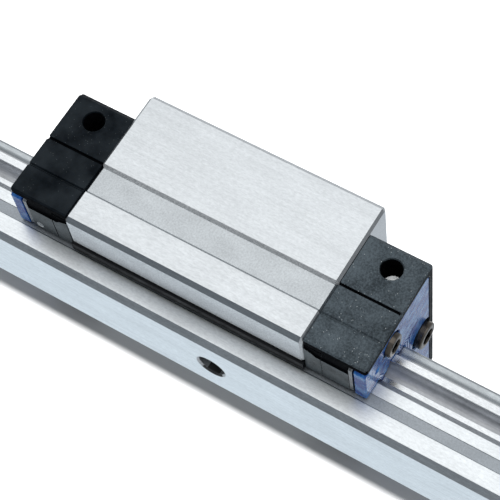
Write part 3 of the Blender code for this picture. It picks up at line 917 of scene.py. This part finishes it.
def thread_data():
    """A threaded liner: a tube whose inside is a helical V groove."""
    mesh = bmesh.new()
    segments = 48
    per_turn = 8
    length = THREAD_TOP - (BLOCK_TOP - TAPPED_DEPTH)
    liner = THREAD_RADIUS + 0.06
    levels = int(length / THREAD_PITCH * per_turn)
    inner = []
    for level in range(levels + 1):
        ring = []
        for i in range(segments):
            phase = (level / per_turn + i / segments) % 1.0
            radius = THREAD_RADIUS - THREAD_HEIGHT * abs(2 * phase - 1)
            angle = 2 * math.pi * i / segments
            z = -length + level * THREAD_PITCH / per_turn
            ring.append(mesh.verts.new((radius * math.cos(angle), radius * math.sin(angle), z)))
        inner.append(ring)
    outer = []
    for z in (-length, levels * THREAD_PITCH / per_turn - length):
        outer.append([mesh.verts.new(point) for point in circle(liner, segments, z)])
    join_rings(mesh, [outer[0], *inner, outer[1], outer[0]])
    return mesh_data("thread", mesh)


def build_threads():
    data = finish_surface(thread_data(), ["block_bore"])
    for i, (x, y) in enumerate(TAPPED_PLACES):
        place_piece(f"tapped_thread_{i + 1}", data, [], shift=(x, y, THREAD_TOP))


def sole_trim():
    """A cutter that takes the bottom back outside the sole's waisted edge, on both sides."""
    mesh = bmesh.new()
    beyond = -CAP_HALF - 1.5
    outline = [*SOLE_WAIST, (CUTTER_END, -SOLE_HALF), (CUTTER_END, beyond), (CUTTER_START, beyond)]
    for side in SIDES.values():
        rings = []
        for z in (CAP_BOTTOM - 1, CAP_BOTTOM + 0.3):
            rings.append([mesh.verts.new((x, y * side, z)) for x, y in outline])
        close_rings(mesh, rings)
    return mesh


def cap_pockets():
    """Room in the cap for the return guides."""
    mesh = bmesh.new()
    outer = guide_low.y - 0.3
    inner = -OPENING_HALF + 1.0
    crest = inner + 2.5
    top = guide_high.z + 0.3
    shoulder = OPENING_SHOULDER - 0.5
    inside = [(crest, top), (crest, shoulder + 2.5), (inner, shoulder), (inner, UNDER_CAP)]
    pocket = [(outer, UNDER_CAP), (outer, top), *inside]
    for outline in (pocket, mirrored(pocket)):
        add_loft(mesh, [(CUTTER_START, outline), (guide_high.x + 0.1, outline)])
    return mesh


def cap_recess():
    """Room in the cap's end for the plate and the seal."""
    mesh = bmesh.new()
    half = CAP_HALF - RIM
    edge = [(-half, UNDER_CAP), (-half, CAP_TOP - RIM - 0.7), (-half + 0.7, CAP_TOP - RIM)]
    outline = edge + mirrored(edge)
    flare = inset(outline, -0.12)
    add_loft(mesh, [
        (RECESS_X, rounded(outline, 0.5)),
        (RECESS_MOUTH_X, rounded(outline, 0.5)),
        (cap_high.x + 0.02, rounded(flare, 0.5)),
        (cap_high.x + 1, rounded(flare, 0.5)),
    ])
    return mesh


def cap_ports():
    """Bolt holes, grease ports and the dimple of the gate in the sole."""
    mesh = bmesh.new()
    beyond = cap_high.x + 1
    add_bolt_holes(mesh, [(CUTTER_START, BOLT_HOLE), (beyond, BOLT_HOLE)], 32)
    port = [
        (SIDE_PORT_FLOOR - 0.4, 0.05),
        (SIDE_PORT_FLOOR, SIDE_PORT_RADIUS),
        (CAP_HALF - 0.3, SIDE_PORT_RADIUS),
        (CAP_HALF - 0.1, SIDE_PORT_RADIUS + 0.07),
        (CAP_HALF + 0.5, SIDE_PORT_RADIUS + 0.6),
    ]
    for side in SIDES.values():
        turned = [(z * side, radius) for z, radius in port]
        add_turned(mesh, turned, 64, along_y(SIDE_PORT[0], 0.0, SIDE_PORT[1]))
    end_port = [(CUTTER_END, END_PORT_RADIUS), (beyond, END_PORT_RADIUS)]
    add_turned(mesh, end_port, 48, along_x(0.0, 0.0, PORT_Z))
    gate = [(CAP_BOTTOM - 1, 1.6), (CAP_BOTTOM, 0.62), (CAP_BOTTOM + 0.08, 0.5)]
    add_turned(mesh, gate, 32, Matrix.Translation((*GATE, 0.0)))
    return mesh


def cap_look(middle, normal, tone):
    side = abs(middle.y)
    from_port = math.hypot(middle.x - SIDE_PORT[0], middle.z - SIDE_PORT[1])
    # Side port floors and the gate dimple get bright steel for a painted glint, and the port walls
    # get painted shade.
    if from_port < SIDE_PORT_RADIUS + 0.02 and side < CAP_HALF - 0.2:
        return "gloss" if side < SIDE_PORT_FLOOR + 0.1 else "recess"
    from_gate = math.hypot(middle.x - GATE[0], middle.y - GATE[1])
    if from_gate < 0.7 and CAP_BOTTOM + 0.02 < middle.z < CAP_BOTTOM + 0.4:
        return "gloss"
    # The high groove and the faces just above the sole are painted near-black shade.
    in_groove = CAP_HALF - 0.45 < side < CAP_HALF - 0.08
    if in_groove and abs(middle.z - GROOVES["high"]) < 0.2:
        return "recess"
    if middle.z < CAP_BOTTOM + 1.5 and side < CAP_HALF - 0.25:
        return "sole" if normal.z < -0.9 and middle.z < CAP_BOTTOM + 0.1 else "recess"
    # Faces looking out of the end get the rim's painted shade.
    return "cap_rim" if normal.x > 0.9 else tone


def build_caps():
    mesh = bmesh.new()
    add_loft(mesh, bar_sections(cap_low.x, cap_high.x, cap_outline(), 0.13, 0.08, 0.48, steps=5))
    data = carved("cap", mesh, turn_channels(), cap_pockets(), cap_recess(), cap_ports(), sole_trim())
    for end, turn in ENDS.items():
        # Each end gets its own tone: painted shade on the left cap, painted light on the right cap.
        tone = f"cap_{end}"
        look = partial(cap_look, tone=tone)
        skin = finish_surface(data.copy(), [tone, "sole", "recess", "gloss", "cap_rim"], look)
        place_piece(f"cap_{end}", skin, [f"end_cap_{end}"], turn=turn)


# Guide walls away from the sole are painted near-black shade.
def guide_look(middle, normal):
    sole = normal.z < -0.9 and middle.z < CAP_BOTTOM + 0.1
    return "sole" if sole or abs(middle.y) < SOLE_HALF - 0.3 else "recess"


def build_guides():
    for label, side in SIDES.items():
        outline = guide_outline() if side == 1 else mirrored(guide_outline())
        mesh = bmesh.new()
        add_loft(mesh, bar_sections(guide_low.x, guide_high.x, outline, 0.1, 0.08, 0.12))
        screws = bmesh.new()
        hole = [(CUTTER_START, BOLT_HOLE), (CUTTER_END, BOLT_HOLE)]
        add_turned(screws, hole, 32, along_x(0.0, BOLT_Y * side, BOLT_Z))
        data = carved("guide", mesh, turn_channels(), screws, sole_trim())
        finish_surface(data, ["sole", "recess"], guide_look)
        for end, turn in ENDS.items():
            other = {"near": "far", "far": "near"}[label] if end == "left" else label
            nodes = [f"return_guide_{end}_{other}"]
            place_piece(f"turn_guide_{end}_{other}", data, nodes, turn=turn)


def build_plates():
    mesh = bmesh.new()
    outline = end_plate_outline(plate_low, plate_high, PLATE_GAP)
    add_loft(mesh, bar_sections(plate_low.x, plate_high.x, outline, 0.1, 0.06, 0.06, steps=2))
    holes = bmesh.new()
    start = plate_low.x - 1
    stop = plate_high.x + 1
    add_turned(holes, [(start, PLUG_HOLE), (stop, PLUG_HOLE)], 48, along_x(0.0, 0.0, PORT_Z))
    add_bolt_holes(holes, [(start, BOLT_HOLE), (stop, BOLT_HOLE)], 32)
    data = finish_surface(carved("plate", mesh, holes), ["plate"])
    place_at_ends("stiffener", "seal_plate", data)


def groove_band(mesh, path, from_side, to_side, depth):
    """A cutter for a groove in the seal's face, between two offsets of a path."""
    band = offset(path, from_side) + offset(path, to_side)[::-1]
    add_loft(mesh, [(seal_high.x - depth, band), (seal_high.x + 1, band)])


def mouthed(start, face, radius):
    """Profile of a hole with a small chamfer where it leaves a face."""
    return [(start, radius), (face - 0.15, radius), (face + 1, radius + 1.15)]


def build_seals():
    mesh = bmesh.new()
    outline = end_plate_outline(seal_low, seal_high, SEAL_GAP)
    add_loft(mesh, bar_sections(seal_low.x, seal_high.x, outline, 0.12, 0.08, 0.22, steps=4))
    lips = bmesh.new()
    rail_line = rail_path(seal_low.z - 1)
    groove_band(lips, rail_line, 0.62, 0.80, 0.35)
    groove_band(lips, rail_line, 1.25, 1.40, 0.25)
    holes = bmesh.new()
    start = seal_low.x - 1
    face = seal_high.x
    add_turned(holes, mouthed(start, face, PLUG_HOLE), 64, along_x(0.0, 0.0, PORT_Z))
    add_bolt_holes(holes, mouthed(start, face, BOLT_HEAD + 0.3), 40)
    dimple = [(face - 0.3, 0.25), (face - 0.12, 0.55), (face, 0.7), (face + 1, 2.2)]
    for side in SIDES.values():
        add_turned(holes, dimple, 32, along_x(0.0, SEAL_DIMPLE[0] * side, SEAL_DIMPLE[1]))
    data = finish_surface(carved("seal", mesh, lips, holes), ["seal"])
    place_at_ends("seal", "end_seal", data)


def screw_data(tip, head_start, end, shank, head, socket, depth):
    """A socket-head screw along X: places of its tip and head, its radii, and its socket's depth."""
    mesh = bmesh.new()
    place = along_x(0.0, 0.0, 0.0)
    profile = [
        (tip, shank - 0.3),
        (tip + 0.3, shank),
        (head_start, shank),
        (head_start, head - 0.08),
        (head_start + 0.08, head),
        (end - 0.3, head),
        (end - 0.1, head - 0.1),
        (end, head - 0.3),
    ]
    add_turned(mesh, profile, 64, place)
    mouth = bmesh.new()
    funnel = [(end - 0.25, socket * 0.98), (end + 0.5, socket * 0.98 + 0.75)]
    add_turned(mouth, funnel, 48, place)
    hexagon = bmesh.new()
    across = socket * 2 / math.sqrt(3)
    add_turned(hexagon, [(end - depth, across), (end + 1, across)], 6, place)
    drill = bmesh.new()
    add_turned(drill, [(end - depth - 0.5, 0.1), (end - depth, socket), (end, socket)], 32, place)
    return carved("screw", mesh, mouth, hexagon, drill)


def build_screws():
    places = (bolt_low.x, plate_high.x + 0.05, bolt_high.x)
    bolt = screw_data(*places, shank=1.15, head=BOLT_HEAD, socket=1.0, depth=1.0)
    finish_surface(bolt, ["screw"])
    for side_name, side in SIDES.items():
        for end, turn in ENDS.items():
            nodes = [f"cap_screw_{end}_{side_name}"]
            shift = (0.0, BOLT_Y * side, BOLT_Z)
            name = f"cap_bolt_{end}_{side_name}"
            place_piece(name, bolt, nodes, turn=turn, shift=shift)
    places = (plug_low.x, plug_low.x + 2.85, plug_high.x)
    plug = screw_data(*places, shank=1.7, head=PLUG_HEAD, socket=1.25, depth=1.6)
    finish_surface(plug, ["screw"])
    place_at_ends("port_plug", "port_screw", plug, shift=(0.0, 0.0, PORT_Z))


def build_strip(name, node, section, corner, look):
    mesh = bmesh.new()
    half = skirt_high.x
    add_loft(mesh, bar_sections(-half, half, section, corner, 0.06, 0.06, steps=2))
    place_piece(name, finish_surface(mesh_data(name, mesh), [look]), [node])


def build_strips():
    """Bottom seals with a lip line, and the retainers that keep the balls in."""
    outer = skirt_low.y
    inner = skirt_high.y
    bottom = skirt_low.z
    seal = [
        (outer, bottom),
        (outer, 5.0),
        (-8.4, 5.0),
        (inner, 4.3),
        (inner, bottom),
        (inner - 0.35, bottom),
        (inner - 0.42, bottom + 0.12),
        (inner - 0.56, bottom + 0.12),
        (inner - 0.63, bottom),
    ]
    retainer = [(-9.8, 5.3), (-9.8, 7.2), (-8.6, 7.2), (-7.95, 7.45)]
    retainer += [(-7.95, 6.9), (-8.5, 6.6), (-8.5, 5.3)]
    strips = [
        ("skirt_seal", "bottom_seal", seal, "skirt", "black_rubber"),
        ("retainer", "lower_retainer", retainer, "plate", "plate_steel"),
    ]
    for label, side in SIDES.items():
        for name, node, section, look, slot in strips:
            sided = section if side == 1 else mirrored(section)
            build_strip(f"{name}_{label}", f"{node}_{label}", sided, 0.08, look)
    low, high = end_box("upper_retainer")
    upper = [(low.y, low.z), (low.y, high.z), (high.y, high.z), (high.y, low.z)]
    build_strip("retainer_upper", "upper_retainer", upper, 0.12, "plate")


def build_balls():
    for label, side in SIDES.items():
        for row in LOAD_ROW:
            load, back = row_points(row, side)
            circuit = 4 * BLOCK_HALF_LENGTH + math.pi * (load - back).length
            mesh = bmesh.new()
            for ball in range(BALLS_PER_CIRCUIT):
                middle = circuit_point(row, side, ball * circuit / BALLS_PER_CIRCUIT)
                sphere = {"radius": BALL_RADIUS, "matrix": Matrix.Translation(middle)}
                bmesh.ops.create_uvsphere(mesh, u_segments=20, v_segments=12, **sphere)
            data = finish_surface(mesh_data("balls", mesh), ["ball"])
            node = f"ball_circuit_{row}_{label}"
            place_piece(f"ball_row_{row}_{label}", data, [node])


# Stage and light.

def lobe(tree, direction, towards, inner, outer, widen):
    """One within inner degrees of a direction, falling to nought at outer degrees.

    Above one, widen stretches the patch of light along X.
    """
    squeezed = add_node(tree, "ShaderNodeVectorMath", operation="MULTIPLY")
    tree.links.new(direction, squeezed.inputs[0])
    squeezed.inputs[1].default_value = (1.0 / widen, 1.0, 1.0)
    unit = add_node(tree, "ShaderNodeVectorMath", operation="NORMALIZE")
    tree.links.new(squeezed.outputs[0], unit.inputs[0])
    match = add_node(tree, "ShaderNodeVectorMath", operation="DOT_PRODUCT")
    tree.links.new(unit.outputs[0], match.inputs[0])
    match.inputs[1].default_value = Vector(towards).normalized()
    low = math.cos(math.radians(outer))
    high = math.cos(math.radians(inner))
    return spread(tree, match.outputs["Value"], low, high, smooth=True)


# Patches of the soft light: direction, where it is full and where it ends in degrees,
# how far it is stretched along X, and its colour.
SOFT_LIGHTS = [
    ((-0.31, -0.44, -0.84), 16, 33, 1.0, (0.11, 0.13, 0.15)),
    ((0.10, -0.95, 0.25), 17, 33, 2.8, (1.26, 1.28, 1.29)),
    ((-0.31, 0.62, 0.72), 10, 24, 1.0, (0.80, 0.82, 0.84)),
    ((-0.31, 0.88, -0.35), 18, 42, 1.0, (0.77, 0.86, 0.93)),
    ((0.31, 0.88, 0.35), 12, 36, 1.0, (0.62, 0.66, 0.70)),
    ((0.88, -0.31, 0.35), 14, 34, 1.0, (0.20, 0.21, 0.22)),
]
SURROUNDINGS = (0.46, 0.48, 0.50)


def build_world():
    world = bpy.data.worlds.new("studio")
    bpy.context.scene.world = world
    world.use_nodes = True
    tree = world.node_tree
    tree.nodes.clear()
    direction = add_node(tree, "ShaderNodeTexCoord").outputs["Generated"]
    colour = (*SURROUNDINGS, 1.0)
    for towards, inner, outer, widen, shade in SOFT_LIGHTS:
        patch = lobe(tree, direction, towards, inner, outer, widen)
        colour = blended(tree, patch, colour, (*shade, 1.0))
    studio = add_node(tree, "ShaderNodeBackground")
    feed(tree, colour, studio.inputs["Color"])
    white = add_node(tree, "ShaderNodeBackground")
    white.inputs["Color"].default_value = grey(1.0)
    seen = add_node(tree, "ShaderNodeLightPath").outputs["Is Camera Ray"]
    mixed = add_node(tree, "ShaderNodeMixShader")
    tree.links.new(seen, mixed.inputs[0])
    tree.links.new(studio.outputs[0], mixed.inputs[1])
    tree.links.new(white.outputs[0], mixed.inputs[2])
    output = add_node(tree, "ShaderNodeOutputWorld")
    tree.links.new(mixed.outputs[0], output.inputs["Surface"])


def stage_material(name, tone):
    """Matte paper that isn't there from behind."""
    made, tree, shader = new_material(name)
    grain = clouds(tree, per_mm(tree, 0.3, 0.3, 0.3), 4.0)
    feed(tree, spread(tree, grain, 0.3, 0.7, 0.85, 0.95), shader.inputs["Roughness"])
    shader.inputs["Base Color"].default_value = grey(tone)
    shader.inputs["Specular IOR Level"].default_value = 0.0
    clear = add_node(tree, "ShaderNodeBsdfTransparent")
    mixed = add_node(tree, "ShaderNodeMixShader")
    behind = add_node(tree, "ShaderNodeNewGeometry").outputs["Backfacing"]
    tree.links.new(behind, mixed.inputs[0])
    tree.links.new(shader.outputs[0], mixed.inputs[1])
    tree.links.new(clear.outputs[0], mixed.inputs[2])
    tree.links.new(mixed.outputs[0], tree.nodes["Material Output"].inputs["Surface"])
    return made


def build_stage():
    """A floor just under the rail and a backdrop just behind the carriage, in metres."""
    reach = 3.0
    under = -0.2 * MM
    behind = (BLOCK_HALF + 0.3) * MM
    square = [(-reach, -reach), (reach, -reach), (reach, reach), (-reach, reach)]
    floor = [(a, b, under) for a, b in square]
    wall = [(a, behind, b) for a, b in square]
    for name, corners, tone in (("floor", floor, 0.85), ("backdrop", wall, 0.58)):
        data = bpy.data.meshes.new(name)
        data.from_pydata(corners, [], [(0, 1, 2, 3)])
        data.materials.append(stage_material(f"{name}_paper", tone))
        piece = bare_object(name, data)
        piece.visible_diffuse = False
        piece.visible_glossy = False
        piece.visible_transmission = False
        piece.visible_shadow = False


def named_collection(name, pieces):
    collection = bpy.data.collections.new(name)
    for piece in pieces:
        collection.objects.link(bpy.data.objects[piece])
    return collection


def add_sun(name, towards_light, strength, spread_degrees, lit, shading):
    """A soft lamp from far away, for the lit pieces only, with shade from the shading ones only."""
    data = bpy.data.lights.new(name, "SUN")
    data.energy = strength
    data.angle = math.radians(spread_degrees)
    lamp = bare_object(name, data)
    lamp.rotation_mode = "QUATERNION"
    lamp.rotation_quaternion = Vector(towards_light).to_track_quat("Z", "Y")
    lamp.light_linking.receiver_collection = named_collection(f"{name}_receivers", lit)
    lamp.light_linking.blocker_collection = named_collection(f"{name}_blockers", shading)


def build_light():
    build_world()
    build_stage()
    add_sun("backdrop_light", (0.0, -1.0, -0.07), 6.6, 8, ["backdrop"], ["rail_body"])
    add_sun("floor_light", (0.3, -0.5, 1.0), 2.4, 12, ["floor"], ["rail_body", "block_body"])
    bpy.context.scene.view_settings.view_transform = "Standard"


build_rail()
build_block()
build_threads()
build_caps()
build_guides()
build_plates()
build_seals()
build_screws()
build_strips()
build_balls()
build_light()
